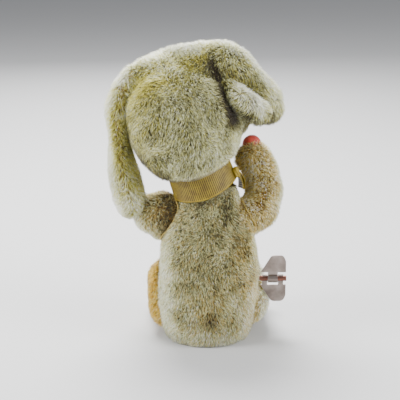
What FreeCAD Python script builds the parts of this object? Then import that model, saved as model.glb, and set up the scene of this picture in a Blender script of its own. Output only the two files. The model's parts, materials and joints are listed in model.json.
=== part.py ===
import FreeCAD, Part
import math
import os
import re

import Sketcher

# A clockwork puppy in a plush coat: a tin body with a spring movement, two arms on a
# rocking shaft and a head that turns on a neck post.  Millimetres, +Z up.  The puppy faces
# -Y, its right side (the key side) is -X, and the origin is the centre of the base's underside.

V = FreeCAD.Vector
doc = FreeCAD.newDocument("ClockworkPuppy")

# ---------------------------------------------------------------- driving dimensions

SIZES = {
    # tin body
    "base_radius": 23.4,
    "base_thickness": 0.8,
    "rim_height": 3.0,
    "tin": 0.5,
    "shell_foot": 22.3,
    "shell_waist": 21.9,
    "shell_chest": 18.8,
    "shell_top": 15.6,
    "waist_height": 48.0,
    "chest_height": 70.0,
    "shell_height": 90.0,
    "cap_thickness": 0.8,
    "neck_hole": 4.2,
    "neck_flange": 5.4,
    "neck_bush_foot": 88.6,
    "neck_bush_top": 92.0,
    "screw_offset": 3.6,
    "screw_head": 1.9,
    # movement
    "plate_inside": 9.0,
    "plate_thickness": 0.8,
    "key_height": 36.1,
    "arbor_radius": 1.5,
    "small_arbor_radius": 1.0,
    "running_fit": 0.05,
    "gear_module": 0.6,
    "wheel_thickness": 1.0,
    "great_teeth": 48,
    "second_teeth": 36,
    "pinion_teeth": 12,
    "pinion_length": 2.8,
    "star_radius": 4.7,
    "star_teeth": 12,
    "pallet_reach": 8.6,
    "pillar_radius": 1.8,
    "stud_radius": 1.0,
    "stud_overhang": 2.0,
    "nut_height": 1.2,
    "nut_radius": 2.1,
    "click_pin": 0.8,
    "star_root": 3.2,
    "ratchet_teeth": 12,
    "ratchet_radius": 5.2,
    "ratchet_root": 3.9,
    "spring_strip": 0.4,
    "spring_width": 5.0,
    "spring_pitch": 1.3,
    "spring_core": 2.4,
    "crank_radius": 7.5,
    "disc_radius": 9.0,
    "disc_thickness": 0.8,
    "crank_pin": 0.5,
    # key
    "shaft_radius": 1.6,
    "shaft_length": 28.3,
    "wing_thickness": 0.8,
    "knuckle_radius": 2.6,
    "eyelet_radius": 4.2,
    "eyelet_bore": 2.2,
    "eyelet_length": 4.6,
    "key_hole": 3.0,
    # arms
    "shoulder_height": 80.0,
    "arm_shaft_radius": 1.2,
    "arm_shaft_length": 68.0,
    "lever_thickness": 1.0,
    "lever_length": 35.0,
    "lever_width": 4.6,
    "finger_length": 6.5,
    "finger_offset": 4.5,
    "swing_half": 16.8,
    "ball_radius": 5.8,
    "soft_gap": 0.3,
    # neck and head
    "post_radius": 2.0,
    "post_foot": 86.9,
    "post_length": 25.0,
    "plug_radius": 12.0,
    "plug_length": 20.0,
    "lean": 20.0,
    "yaw": -42.0,
    "ribbon_radius": 18.8,
    "ribbon_thickness": 0.5,
    "ribbon_width": 16.0,
    "knot_radius": 4.0,
    "knot_angle": 165.0,
    "tail_width": 8.0,
    "tail_length": 10.0,
    "eye_radius": 3.6,
    "washer_radius": 5.2,
    "washer_foot": 92.2,
    "plug_foot": 97.0,
}

sheet = doc.addObject("Spreadsheet::Sheet", "sizes")
for row, (alias, value) in enumerate(SIZES.items(), start=1):
    sheet.set(f"A{row}", alias)
    sheet.set(f"B{row}", str(value))
    sheet.setAlias(f"B{row}", alias)
doc.recompute()


def size(alias):
    """The number in the sheet's cell with this alias."""
    return float(sheet.get(alias))


def bind(target, prop, formula):
    """Binds a property to a formula of aliases, such as "plate_inside + 2 * tin"."""
    words = re.compile("|".join(r"\b" + alias + r"\b" for alias in SIZES))
    target.setExpression(prop, words.sub(lambda word: "sizes." + word.group(), str(formula)))


# ---------------------------------------------------------------- building blocks

ALONG_X = FreeCAD.Rotation(V(0, 1, 0), 90)
UPRIGHT = FreeCAD.Rotation()
pieces = {}


def piece(label, shape):
    """Registers a finished sub-part under the name of its node."""
    shape.Label = label
    pieces[label] = shape
    return shape


def at(x, y, z, turn=UPRIGHT):
    return FreeCAD.Placement(V(x, y, z), turn)


def primitive(kind, name, place, **formulas):
    """A Part primitive whose sizes follow the sheet."""
    made = doc.addObject("Part::" + kind, name)
    for prop, formula in formulas.items():
        bind(made, prop, formula)
    made.Placement = place
    return made


def rod(name, radius, length, x, y, z):
    """A cylinder that runs from x towards +X."""
    return primitive("Cylinder", name, at(x, y, z, ALONG_X), Radius=radius, Height=length)


def post(name, radius, length, x, y, z, turn=UPRIGHT):
    """A cylinder that runs up from z, or along its turned axis."""
    return primitive("Cylinder", name, at(x, y, z, turn), Radius=radius, Height=length)


def ellipsoid(name, place, half_x, half_y, half_z):
    return primitive("Ellipsoid", name, place, Radius1=half_z, Radius2=half_x, Radius3=half_y)


def fuse(name, *members):
    made = doc.addObject("Part::MultiFuse", name)
    made.Shapes = list(members)
    return made


def group(name, *members):
    made = doc.addObject("Part::Compound", name)
    made.Links = list(members)
    return made


def cut(name, base, *tools):
    """base without its tools."""
    made = doc.addObject("Part::Cut", name)
    made.Base = base
    made.Tool = tools[0] if len(tools) == 1 else group(name + "_tools", *tools)
    return made


def new_body(label):
    return piece(label, doc.addObject("PartDesign::Body", label))


def sketch_on(body, role, name):
    """An empty sketch on one of the body's own origin planes."""
    plane = next(o for o in body.Origin.OriginFeatures if o.Role == role)
    sketch = body.newObject("Sketcher::SketchObject", name)
    sketch.AttachmentSupport = [(plane, "")]
    sketch.MapMode = "FlatFace"
    return sketch


def draw_loop(sketch, corners):
    """A closed outline of straight runs through the corners."""
    ends = corners[1:] + corners[:1]
    for start, end in zip(corners, ends):
        sketch.addGeometry(Part.LineSegment(V(*start, 0), V(*end, 0)), False)


def draw_circle(sketch, centre, formula):
    """A circle whose radius follows the sheet."""
    index = sketch.addGeometry(Part.Circle(V(*centre, 0), V(0, 0, 1), 1.0), False)
    constraint = sketch.addConstraint(Sketcher.Constraint("Radius", index, 1.0))
    for axis, value in (("DistanceX", centre[0]), ("DistanceY", centre[1])):
        if abs(value) > 1e-9:
            sketch.addConstraint(Sketcher.Constraint(axis, -1, 1, index, 3, value))
    if centre == (0, 0):
        sketch.addConstraint(Sketcher.Constraint("Coincident", index, 3, -1, 1))
    bind(sketch, f"Constraints[{constraint}]", formula)


def pad(body, sketch, formula):
    """The sketch's outline as a plate."""
    made = body.newObject("PartDesign::Pad", body.Name + "_pad")
    made.Profile = sketch
    bind(made, "Length", formula)
    return made


def turn_profile(body, corners, angle=360.0):
    """A tin or plush shell turned from a half section of (radius, height) corners."""
    sketch = sketch_on(body, "XZ_Plane", body.Name + "_section")
    draw_loop(sketch, corners)
    made = body.newObject("PartDesign::Revolution", body.Name + "_turn")
    made.Profile = sketch
    made.ReferenceAxis = (sketch, ["V_Axis"])
    made.Angle = angle
    made.Midplane = angle < 360.0
    return made


def limb(name, start, end, start_radius, end_radius):
    """A stuffed limb: two round ends joined by their common cone."""
    along = end - start
    lean = math.asin((start_radius - end_radius) / along.Length)
    body = doc.addObject("PartDesign::Body", name)
    sketch = sketch_on(body, "XZ_Plane", name + "_section")
    quarter = math.pi / 2
    rounds = ((0.0, start_radius, -quarter, lean), (along.Length, end_radius, lean, quarter))
    for height, radius, first, last in rounds:
        circle = Part.Circle(V(0, height, 0), V(0, 0, 1), radius)
        sketch.addGeometry(Part.ArcOfCircle(circle, first, last), False)
    sides = [V(radius * math.cos(lean), height + radius * math.sin(lean), 0) for height, radius, *_ in rounds]
    sketch.addGeometry(Part.LineSegment(*sides), False)
    sketch.addGeometry(Part.LineSegment(V(0, along.Length + end_radius, 0), V(0, -start_radius, 0)), False)
    made = body.newObject("PartDesign::Revolution", name + "_turn")
    made.Profile = sketch
    made.ReferenceAxis = (sketch, ["V_Axis"])
    made.Angle = 360.0
    body.Placement = FreeCAD.Placement(start, FreeCAD.Rotation(V(0, 0, 1), along))
    return body


# ---------------------------------------------------------------- tin body

KEY_Y = 0.0
KEY_Z = size("key_height")
SHOULDER_Z = size("shoulder_height")
SCREW_X = size("plate_inside") + size("screw_offset")


def shell_profile(offset):
    """(radius, height) corners up the outside of the tin body, moved out by offset."""
    return [
        (size("shell_foot") + offset, size("base_thickness")),
        (size("shell_waist") + offset, size("waist_height")),
        (size("shell_chest") + offset, size("chest_height")),
        (size("shell_top") + offset, size("shell_height")),
    ]


def make_base():
    body = doc.addObject("PartDesign::Body", "base_disc")
    outer = size("base_radius")
    inner = outer - size("tin")
    thick = size("base_thickness")
    turn_profile(body, [(0, 0), (outer, 0), (outer, size("rim_height")), (inner, size("rim_height")),
                        (inner, thick), (0, thick)])
    holes = [post(f"base_hole_{side}", "stud_radius", 4, side * SCREW_X, 0, -1) for side in (1, -1)]
    piece("base_plate", cut("base_plate", body, *holes))


def make_shell(label, side):
    """One half of the pressed tin body, side +1 on the puppy's left."""
    body = doc.addObject("PartDesign::Body", label + "_half")
    outside = shell_profile(0)
    inside = shell_profile(-size("tin"))
    turn_profile(body, outside + inside[::-1], angle=180.0)
    body.Placement = at(0, 0, 0, FreeCAD.Rotation(V(0, 0, 1), 0 if side > 0 else 180))
    holes = [rod(label + "_arm_hole", "arm_shaft_radius + 1.2", 30, 0 if side > 0 else -30, 0, SHOULDER_Z)]
    if side < 0:
        holes.append(rod(label + "_key_hole", "key_hole", 30, -30, KEY_Y, KEY_Z))
    piece(label, cut(label, body, *holes))


def make_cap():
    body = new_body("top_cap")
    outer = size("shell_top")
    bottom = size("shell_height")
    top = bottom + size("cap_thickness")
    hole = size("neck_hole")
    turn_profile(body, [(hole, bottom), (outer, bottom), (outer, top), (hole, top)])
    bush = new_body("neck_bushing")
    bore = size("post_radius") + size("running_fit")
    flange = size("neck_flange")
    foot = size("neck_bush_foot")
    head = size("neck_bush_top")
    turn_profile(bush, [(bore, foot), (hole, foot), (hole, top), (flange, top), (flange, head), (bore, head)])


def make_arm_bushings():
    """Brass eyelets in which the arm shaft turns, one in each side of the body."""
    members = []
    for side in (1, -1):
        start = 14.6 if side > 0 else -19.2
        tube = rod(f"bushing_tube_{side}", "arm_shaft_radius + 1.2", 4.6, start, 0, SHOULDER_Z)
        bore = rod(f"bushing_bore_{side}", "arm_shaft_radius + running_fit", 6, start - 0.7, 0, SHOULDER_Z)
        members.append(cut(f"bushing_{side}", tube, bore))
    piece("arm_bushings", group("arm_bushings", *members))


# ---------------------------------------------------------------- plush coat and legs

COAT = [(24.6, 2.0), (26.8, 9.0), (28.4, 20.0), (28.9, 36.0), (27.9, 48.0), (24.8, 60.0), (22.6, 70.0),
        (20.4, 78.0), (18.6, 83.0), (17.4, 84.5), (17.4, 92.5), (16.0, 94.6), (6.2, 94.6)]


def make_jacket():
    """The body's coat: a stuffed sleeve that fits over the tin and is gathered round the neck."""
    clear = size("soft_gap")
    lining = shell_profile(clear)
    lining[0] = (size("base_radius") + clear, 2.0)
    lining.insert(1, (size("base_radius") + clear, size("rim_height") + clear))
    lining.insert(2, (size("shell_foot") + clear, size("rim_height") + clear))
    lining[-1] = (size("shell_top") + clear, size("shell_height") + size("cap_thickness") + clear)
    body = doc.addObject("PartDesign::Body", "jacket_sleeve")
    turn_profile(body, COAT + [(COAT[-1][0], lining[-1][1])] + lining[::-1])
    key_hole = rod("jacket_key_hole", "eyelet_radius + 0.1", 30, -45, KEY_Y, KEY_Z)
    arm_hole = rod("jacket_arm_hole", "arm_shaft_radius + 1.3", 60, -30, 0, SHOULDER_Z)
    piece("jacket", cut("jacket", body, key_hole, arm_hole))


def make_leg(label, side):
    """A stuffed thigh and an upturned foot, sewn to the coat, side +1 on the puppy's left."""
    thigh = limb(label + "_thigh", V(side * 21, -12, 19.5), V(side * 25.5, -36, 13), 14.5, 11.0)
    foot = limb(label + "_foot", V(side * 27, -43, 10.4), V(side * 28.5, -46, 24), 9.6, 8.2)
    coat = post(label + "_room", 29.2, 60, 0, 0, -5)
    piece(label, cut(label, fuse(label + "_stuffed", thigh, foot), coat))


# ---------------------------------------------------------------- movement frame

ARBORS = {
    "key": (KEY_Y, KEY_Z),
    "second": (0.0, KEY_Z + size("gear_module") * (size("great_teeth") + size("pinion_teeth")) / 2),
}
SECOND_TO_THIRD = 210.0
THIRD_TO_PALLET = 80.0


def polar(centre, angle, distance):
    """The point at this distance and angle (degrees from +Y towards +Z) from a centre."""
    turn = math.radians(angle)
    return (centre[0] + distance * math.cos(turn), centre[1] + distance * math.sin(turn))


ARBORS["third"] = polar(ARBORS["second"], SECOND_TO_THIRD,
                        size("gear_module") * (size("second_teeth") + size("pinion_teeth")) / 2)
ARBORS["pallet"] = polar(ARBORS["third"], THIRD_TO_PALLET, size("pallet_reach"))
PILLARS = [(-11.0, 9.0), (11.0, 9.0), (-12.5, 64.5), (12.5, 64.5)]
PLATE_OUTLINE = [(-15.5, 5.0), (15.5, 5.0), (15.5, 58.0), (14.5, 66.5), (-14.5, 66.5), (-15.5, 58.0)]


def make_plate(label, side):
    """One steel side plate with a bent foot, side +1 on the puppy's left."""
    inside = size("plate_inside")
    thick = size("plate_thickness")
    start = inside if side > 0 else -inside - thick
    body = doc.addObject("PartDesign::Body", label + "_blank")
    sketch = sketch_on(body, "YZ_Plane", label + "_outline")
    draw_loop(sketch, PLATE_OUTLINE)
    for name, centre in ARBORS.items():
        radius = "arbor_radius" if name == "key" else "small_arbor_radius"
        if name != "pallet" or side > 0:
            draw_circle(sketch, centre, radius + " + running_fit")
    for centre in PILLARS:
        draw_circle(sketch, centre, "stud_radius")
    pad(body, sketch, "plate_thickness")
    body.Placement = at(start, 0, 0)
    floor = size("base_thickness")
    leg = primitive("Box", label + "_web", at(start, -4, floor), Length="plate_thickness", Width=8,
                    Height=4.4)
    toe = 6.0
    foot_start = start if side > 0 else start - toe + thick
    foot = primitive("Box", label + "_toe", at(foot_start, -4, floor), Length=toe, Width=8,
                     Height="plate_thickness")
    screw_hole = post(label + "_screw_hole", "stud_radius", 4, side * SCREW_X, 0, -1)
    piece(label, cut(label, fuse(label + "_bent", body, leg, foot), screw_hole))


def make_fasteners():
    inside = size("plate_inside")
    half = inside + size("plate_thickness")
    reach = half + size("stud_overhang")
    pillars = []
    nuts = []
    for index, (y, z) in enumerate(PILLARS):
        spacer = rod(f"spacer_{index}", "pillar_radius", "2 * plate_inside", -inside, y, z)
        stud = rod(f"stud_{index}", "stud_radius", "2 * (plate_inside + plate_thickness + stud_overhang)",
                   -reach, y, z)
        pillars.append(fuse(f"pillar_{index}", spacer, stud))
        for side in (1, -1):
            start = half if side > 0 else -half - size("nut_height")
            name = f"nut_{index}_{'left' if side > 0 else 'right'}"
            hexagon = primitive("Prism", name + "_hex", at(start, y, z, ALONG_X), Polygon=6,
                                Circumradius="nut_radius", Height="nut_height")
            bore = rod(name + "_bore", "stud_radius", 3, start - 1, y, z)
            nuts.append(cut(name, hexagon, bore))
    piece("frame_pillars", group("frame_pillars", *pillars))
    piece("pillar_nuts", group("pillar_nuts", *nuts))
    screws = []
    for side in (1, -1):
        shank = post(f"screw_shank_{side}", "stud_radius", 1.6, side * SCREW_X, 0, 0)
        head = post(f"screw_head_{side}", "screw_head", 1.1, side * SCREW_X, 0, 1.6)
        screws.append(fuse(f"screw_{side}", shank, head))
    piece("base_screws", group("base_screws", *screws))


def make_mainspring():
    """A coiled strip made of half circles about two centres, which makes a spiral."""
    body = new_body("mainspring")
    sketch = sketch_on(body, "YZ_Plane", "mainspring_coil")
    step = size("spring_pitch") / 2
    strip = size("spring_strip")
    core = size("spring_core")
    half_turns = 15
    ends = []
    for edge in (0.0, strip):
        for k in range(half_turns):
            radius = core + k * step + edge
            centre = V(0 if k % 2 == 0 else step, 0, 0)
            first, last = (0, math.pi) if k % 2 == 0 else (math.pi, 2 * math.pi)
            circle = Part.Circle(centre, V(0, 0, 1), radius)
            sketch.addGeometry(Part.ArcOfCircle(circle, first, last), False)
            if k in (0, half_turns - 1):
                ends.append(centre + V(radius if k == 0 else -radius, 0, 0))
    inner_start, inner_end, outer_start, outer_end = ends
    sketch.addGeometry(Part.LineSegment(inner_start, outer_start), False)
    sketch.addGeometry(Part.LineSegment(inner_end, outer_end), False)
    pad(body, sketch, "spring_width")
    body.Placement = at(-7.7, KEY_Y, KEY_Z)


# ---------------------------------------------------------------- wheels

def gear_outline(teeth, first_tooth):
    """Corners of a stub-toothed wheel with one tooth centred on the angle first_tooth."""
    module = size("gear_module")
    pitch = module * teeth / 2
    root = pitch - 1.15 * module
    tip = pitch + 0.8 * module
    quarter = 90.0 / teeth
    corners = []
    for k in range(int(teeth)):
        middle = first_tooth + 360.0 * k / teeth
        for radius, share in ((root, -1.02), (tip, -0.42), (tip, 0.42), (root, 1.02)):
            corners.append(polar((0, 0), middle + share * quarter, radius))
    return corners


def make_gear(label, arbor, teeth, first_tooth, x, thickness, bore):
    body = new_body(label)
    sketch = sketch_on(body, "YZ_Plane", label + "_outline")
    draw_loop(sketch, gear_outline(size(teeth), first_tooth))
    draw_circle(sketch, (0, 0), bore)
    pad(body, sketch, thickness)
    body.Placement = at(x, *ARBORS[arbor])


def make_toothed_disc(label, arbor, teeth, tip, root, lean, x, thickness, bore):
    """A ratchet or star wheel: each tooth is a point that leans by a share of the pitch."""
    body = new_body(label)
    sketch = sketch_on(body, "YZ_Plane", label + "_outline")
    corners = []
    for k in range(teeth):
        corners.append(polar((0, 0), 360.0 * k / teeth, root))
        corners.append(polar((0, 0), 360.0 * (k + lean) / teeth, tip))
    draw_loop(sketch, corners)
    draw_circle(sketch, (0, 0), bore)
    pad(body, sketch, thickness)
    body.Placement = at(x, *ARBORS[arbor])


GREAT_X = -1.0
SECOND_X = 2.0
STAR_X = 5.0
LEVER_X = 12.2


def make_train():
    key_y, key_z = ARBORS["key"]
    piece("winding_arbor", rod("winding_arbor", "arbor_radius", 30.3, -20, key_y, key_z))
    make_toothed_disc("ratchet_wheel", "key", int(size("ratchet_teeth")), size("ratchet_radius"),
                      size("ratchet_root"), 0.9, -2.3, 0.9, "arbor_radius")
    make_gear("great_wheel", "key", "great_teeth", 90.0, GREAT_X, "wheel_thickness",
              "arbor_radius + running_fit")

    second_y, second_z = ARBORS["second"]
    piece("second_arbor", rod("second_arbor", "small_arbor_radius", 20.6, -9.8, second_y, second_z))
    half_pinion = 180.0 / size("pinion_teeth")
    make_gear("second_pinion", "second", "pinion_teeth", 270.0 + half_pinion, -2.0, "pinion_length",
              "small_arbor_radius")
    make_gear("second_wheel", "second", "second_teeth", SECOND_TO_THIRD, SECOND_X, "wheel_thickness",
              "small_arbor_radius")

    third_y, third_z = ARBORS["third"]
    piece("third_arbor", rod("third_arbor", "small_arbor_radius", 20.2, -10.1, third_y, third_z))
    make_gear("third_pinion", "third", "pinion_teeth", SECOND_TO_THIRD + 180.0 + half_pinion, 1.1,
              "pinion_length", "small_arbor_radius")
    make_toothed_disc("star_wheel", "third", int(size("star_teeth")), size("star_radius"),
                      size("star_root"), 0.5, STAR_X, "wheel_thickness", "small_arbor_radius")


def make_click():
    """The click on the great wheel's face drops into the ratchet wheel; a wire spring holds it in."""
    key_y, key_z = ARBORS["key"]
    pivot = polar((key_y, key_z), 200.0, 8.0)
    piece("click_rivet", rod("click_rivet", "click_pin", 1.2, -2.2, *pivot))
    body = new_body("click")
    sketch = sketch_on(body, "YZ_Plane", "click_outline")
    draw_loop(sketch, [(-1.6, -1.3), (1.2, -1.7), (3.3, -4.1), (4.1, -3.1), (1.5, 0.9), (-1.2, 1.5)])
    draw_circle(sketch, (0, 0), "click_pin")
    pad(body, sketch, 0.8)
    body.Placement = at(-2.0, *pivot)
    spring = new_body("click_spring")
    sketch = sketch_on(spring, "YZ_Plane", "click_spring_outline")
    draw_loop(sketch, [(-2.2, -3.2), (4.6, -5.6), (4.7, -5.2), (-2.0, -2.8)])
    pad(spring, sketch, 0.6)
    spring.Placement = at(-1.9, *pivot)


def make_crank():
    """A disc on the second arbor, outside the left plate, with a pin that works the rocker lever."""
    centre = ARBORS["second"]
    disc = rod("crank_disc_blank", "disc_radius", "disc_thickness", 10.4, *centre)
    bore = rod("crank_disc_bore", "small_arbor_radius", 2, 10.0, *centre)
    piece("crank_disc", cut("crank_disc", disc, bore))
    pin_place = polar(centre, 180.0 - size("swing_half"), size("crank_radius"))
    piece("crank_pin", rod("crank_pin", 1.0, "crank_pin + 0.2", 11.2, *pin_place))


def make_governor():
    """The rocking pallet that slows the star wheel: an arbor, a forked plate and two pins."""
    pallet = ARBORS["pallet"]
    piece("pallet_arbor", rod("pallet_arbor", "small_arbor_radius", 6.0, 4.2, *pallet))
    body = new_body("pallet_lever")
    sketch = sketch_on(body, "YZ_Plane", "pallet_outline")
    draw_loop(sketch, [(-1.8, 2.0), (1.8, 2.0), (5.5, -3.6), (5.5, -5.4), (3.8, -5.4), (3.6, -4.2), (0, -1.8),
                       (-3.6, -4.2), (-3.8, -5.4), (-5.5, -5.4), (-5.5, -3.6)])
    draw_circle(sketch, (0, 0), "small_arbor_radius")
    pad(body, sketch, 0.8)
    aim = FreeCAD.Rotation(V(1, 0, 0), THIRD_TO_PALLET - 90.0)
    body.Placement = at(6.6, *pallet, aim)
    pins = []
    for side in (1, -1):
        foot = aim.multVec(V(0, side * 4.6, -4.5))
        pins.append(rod(f"pallet_pin_{side}", 0.5, 1.8, 4.8, pallet[0] + foot.y, pallet[1] + foot.z))
    piece("pallet_pins", group("pallet_pins", *pins))


# ---------------------------------------------------------------- key

KEY_TURN = FreeCAD.Rotation(V(1, 0, 0), -8)
WING = {
    "hub": 4.2,
    "top": 15.3,
    "inner": -32.8,
    "outer": -48.0,
}
WING_ROUND = 3.2
KNUCKLES = {"upper": [(-43.0, -37.0)], "lower": [(-46.4, -43.3), (-36.7, -33.6)]}


def round_corners(body, plate, radius, above):
    """Rounds the plate's corners that are further than `above` from its hub."""
    doc.recompute()
    names = []
    for index, edge in enumerate(plate.Shape.Edges, start=1):
        start, end = (vertex.Point for vertex in edge.Vertexes)
        if abs((end - start).y) > 0.9 * edge.Length and abs(start.z) > above:
            names.append(f"Edge{index}")
    made = body.newObject("PartDesign::Fillet", body.Name + "_round")
    made.Base = (plate, names)
    made.Radius = radius
    return made


def make_wing(label, side):
    """A pressed wing whose straps fold half way round the shaft, side +1 for the upper one."""
    body = doc.addObject("PartDesign::Body", label + "_plate")
    sketch = sketch_on(body, "XZ_Plane", label + "_outline")
    hub, top, inner, outer = WING.values()
    draw_loop(sketch, [(inner, side * hub), (inner - 6.4, side * top), (outer + 1.6, side * top),
                       (outer, side * (hub + 7)), (outer, side * hub)])
    plate = pad(body, sketch, "wing_thickness")
    plate.Midplane = True
    round_corners(body, plate, WING_ROUND, hub + 5)
    body.Placement = at(0, KEY_Y, KEY_Z, KEY_TURN)
    members = [body]
    half = size("wing_thickness") / 2
    for index, (start, end) in enumerate(KNUCKLES[label.split("_")[-1]]):
        name = f"{label}_knuckle_{index}"
        wide = end - start
        tube = rod(name + "_tube", "knuckle_radius", wide, start, KEY_Y, KEY_Z)
        bore = rod(name + "_bore", "shaft_radius", wide + 2, start - 1, KEY_Y, KEY_Z)
        far_side = -3 - half if side > 0 else half
        open_side = primitive("Box", name + "_open", FreeCAD.Placement(
            V(start - 1, KEY_Y, KEY_Z) + KEY_TURN.multVec(V(0, far_side, -3)), KEY_TURN),
            Length=wide + 2, Width=3, Height=6)
        low = size("shaft_radius") + 0.1 if side > 0 else -hub - 0.6
        strap = primitive("Box", name + "_strap", FreeCAD.Placement(
            V(start, KEY_Y, KEY_Z) + KEY_TURN.multVec(V(0, -half, low)), KEY_TURN),
            Length=wide, Width="wing_thickness", Height=hub + 0.5 - size("shaft_radius"))
        members += [cut(name, tube, bore, open_side), strap]
    piece(label, fuse(label, *members))


def make_key():
    """A nickel butterfly key: two rounded wings whose straps fold round a shaft, as on a hinge."""
    start = -20.0 - size("shaft_length")
    piece("key_shaft", rod("key_shaft", "shaft_radius", "shaft_length", start, KEY_Y, KEY_Z))
    make_wing("key_wing_upper", 1)
    make_wing("key_wing_lower", -1)


def make_key_eyelet():
    """The nickel eyelet that finishes the hole in the coat where the key goes in."""
    tube = rod("eyelet_tube", "eyelet_radius", "eyelet_length", -28.6, KEY_Y, KEY_Z)
    bore = rod("eyelet_bore", "eyelet_bore", 12, -32, KEY_Y, KEY_Z)
    piece("key_eyelet", cut("key_eyelet", tube, bore))


# ---------------------------------------------------------------- arms

def make_arms():
    half = size("arm_shaft_length") / 2
    piece("arm_shaft", rod("arm_shaft", "arm_shaft_radius", "arm_shaft_length", -half, 0, SHOULDER_Z))
    arms = {
        "arm_left": (V(35.3, -4, 76.5), V(27.0, -38, 72.5), 10.4, 8.8),
        "arm_right": (V(-35.4, -5.5, 76.5), V(-30, -22, 106.5), 10.6, 10.2),
    }
    for label, (shoulder, paw, shoulder_radius, paw_radius) in arms.items():
        side = 1 if shoulder.x > 0 else -1
        stuffed = limb(label + "_stuffed", shoulder, paw, shoulder_radius, paw_radius)
        tools = [rod(label + "_socket", "arm_shaft_radius", 20, 14 if side > 0 else -34, 0, SHOULDER_Z)]
        if side < 0:
            tools.append(primitive("Sphere", "ball_room", at(*BALL), Radius="ball_radius + 0.05"))
        piece(label, cut(label, stuffed, *tools))


BALL = (-27.4, -22.5, 114.6)


def make_ball():
    piece("ball", primitive("Sphere", "ball", at(*BALL), Radius="ball_radius"))


def make_rocker():
    """The slotted lever on the arm shaft, hanging beside the crank pin."""
    body = new_body("rocker_lever")
    sketch = sketch_on(body, "YZ_Plane", "rocker_outline")
    half = size("lever_width") / 2
    length = size("lever_length")
    draw_loop(sketch, [(-half, 3.2), (half, 3.2), (half, -length), (-half, -length)])
    draw_loop(sketch, [(-1.2, -16.8), (-1.2, -length + 1.6), (1.2, -length + 1.6), (1.2, -16.8)])
    draw_circle(sketch, (0, 0), "arm_shaft_radius")
    pad(body, sketch, "lever_thickness")
    body.Placement = at(LEVER_X, 0, SHOULDER_Z, FreeCAD.Rotation(V(1, 0, 0), -size("swing_half")))


def make_finger():
    """The finger on the arm shaft that pushes the neck arm round."""
    body = new_body("neck_finger")
    sketch = sketch_on(body, "YZ_Plane", "finger_outline")
    length = size("finger_length")
    draw_loop(sketch, [(-2.6, -2.6), (2.6, -2.6), (2.6, 2.6), (0.8, 3.4), (0.8, length), (-0.8, length),
                       (-0.8, 3.4), (-2.6, 2.6)])
    draw_circle(sketch, (0, 0), "arm_shaft_radius")
    pad(body, sketch, 1.6)
    body.Placement = at(-size("finger_offset") - 0.8, 0, SHOULDER_Z,
                        FreeCAD.Rotation(V(1, 0, 0), -size("swing_half")))


# ---------------------------------------------------------------- neck and head

NECK = FreeCAD.Placement(V(2.9, 0, 99.4), FreeCAD.Rotation(V(0, 1, 0), size("lean")))
HEAD = FreeCAD.Placement(V(14, 5, 134), FreeCAD.Rotation(V(0, 1, 0), size("lean")).multiply(
    FreeCAD.Rotation(V(0, 0, 1), size("yaw"))))
COLLAR_TOP = 95.4


def on_head(x, y, z, turn=UPRIGHT):
    """A place in the head's own frame, which looks along -Y."""
    return HEAD.multiply(FreeCAD.Placement(V(x, y, z), turn))


def on_neck(x, y, z, turn=UPRIGHT):
    """A place in the frame of the tilted neck and its ribbon."""
    return NECK.multiply(FreeCAD.Placement(V(x, y, z), turn))


def skull(name, grow):
    """The head's round back and its domed forehead, grown on all sides."""
    back = ellipsoid(name + "_back", on_head(0, 0, 0), 33 + grow, 34 + grow, 39 + grow)
    brow = ellipsoid(name + "_brow", on_head(0, -28, 20), 20 + grow, 17 + grow, 17 + grow)
    return back, brow


def make_neck():
    post_foot = size("post_foot")
    plug_foot = size("plug_foot")
    piece("neck_post", post("neck_post", "post_radius", "post_length", 0, 0, post_foot))
    arm = primitive("Box", "neck_arm_bar", at(0, 0, post_foot, FreeCAD.Rotation(V(0, 0, 1), 157.1)).multiply(
        FreeCAD.Placement(V(0, -2.0, 0), UPRIGHT)), Length=7.2, Width=4.0, Height=1.0)
    bore = post("neck_arm_bore", "post_radius", 3, 0, 0, post_foot - 1)
    piece("neck_arm", cut("neck_arm", arm, bore))
    washer = post("washer_blank", "washer_radius", 1.0, 0, 0, size("washer_foot"))
    washer_bore = post("washer_bore", "post_radius", 3, 0, 0, size("washer_foot") - 1)
    piece("neck_washer", cut("neck_washer", washer, washer_bore))
    plug = post("plug_blank", "plug_radius", "plug_length", 0, 0, plug_foot)
    plug_bore = post("plug_bore", "post_radius", "post_foot + post_length - plug_foot", 0, 0, plug_foot)
    piece("neck_plug", cut("neck_plug", plug, plug_bore))


def make_head():
    collar = post("collar", 18.2, 15, *NECK.multVec(V(0, 0, -3.5)), NECK.Rotation)
    full = fuse("head_full", *skull("skull", 0), collar)
    half = size("ribbon_width") / 2 + size("soft_gap")
    ring_outer = post("ribbon_room_outer", 60, "ribbon_width + 2 * soft_gap", *NECK.multVec(V(0, 0, -half)),
                      NECK.Rotation)
    ring_inner = post("ribbon_room_inner", "ribbon_radius - soft_gap", 20, *NECK.multVec(V(0, 0, -10)),
                      NECK.Rotation)
    ring = cut("ribbon_room", ring_outer, ring_inner)
    below = primitive("Box", "below_collar", at(-40, -40, COLLAR_TOP - 40), Length=80, Width=80, Height=40)
    plug_room = post("plug_room", "plug_radius + 0.1", "plug_length + 2.1", 0, 0, 95)
    piece("head_plush", cut("head_plush", full, ring, below, plug_room))


def muzzle_form(name, grow):
    return ellipsoid(name, on_head(0, -42, -12), 13.5 + grow, 15.5 + grow, 12.5 + grow)


def nose_form(name, grow):
    return ellipsoid(name, on_head(0, -57.2, -7.5), 5.1 + grow, 3.8 + grow, 3.9 + grow)


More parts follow.
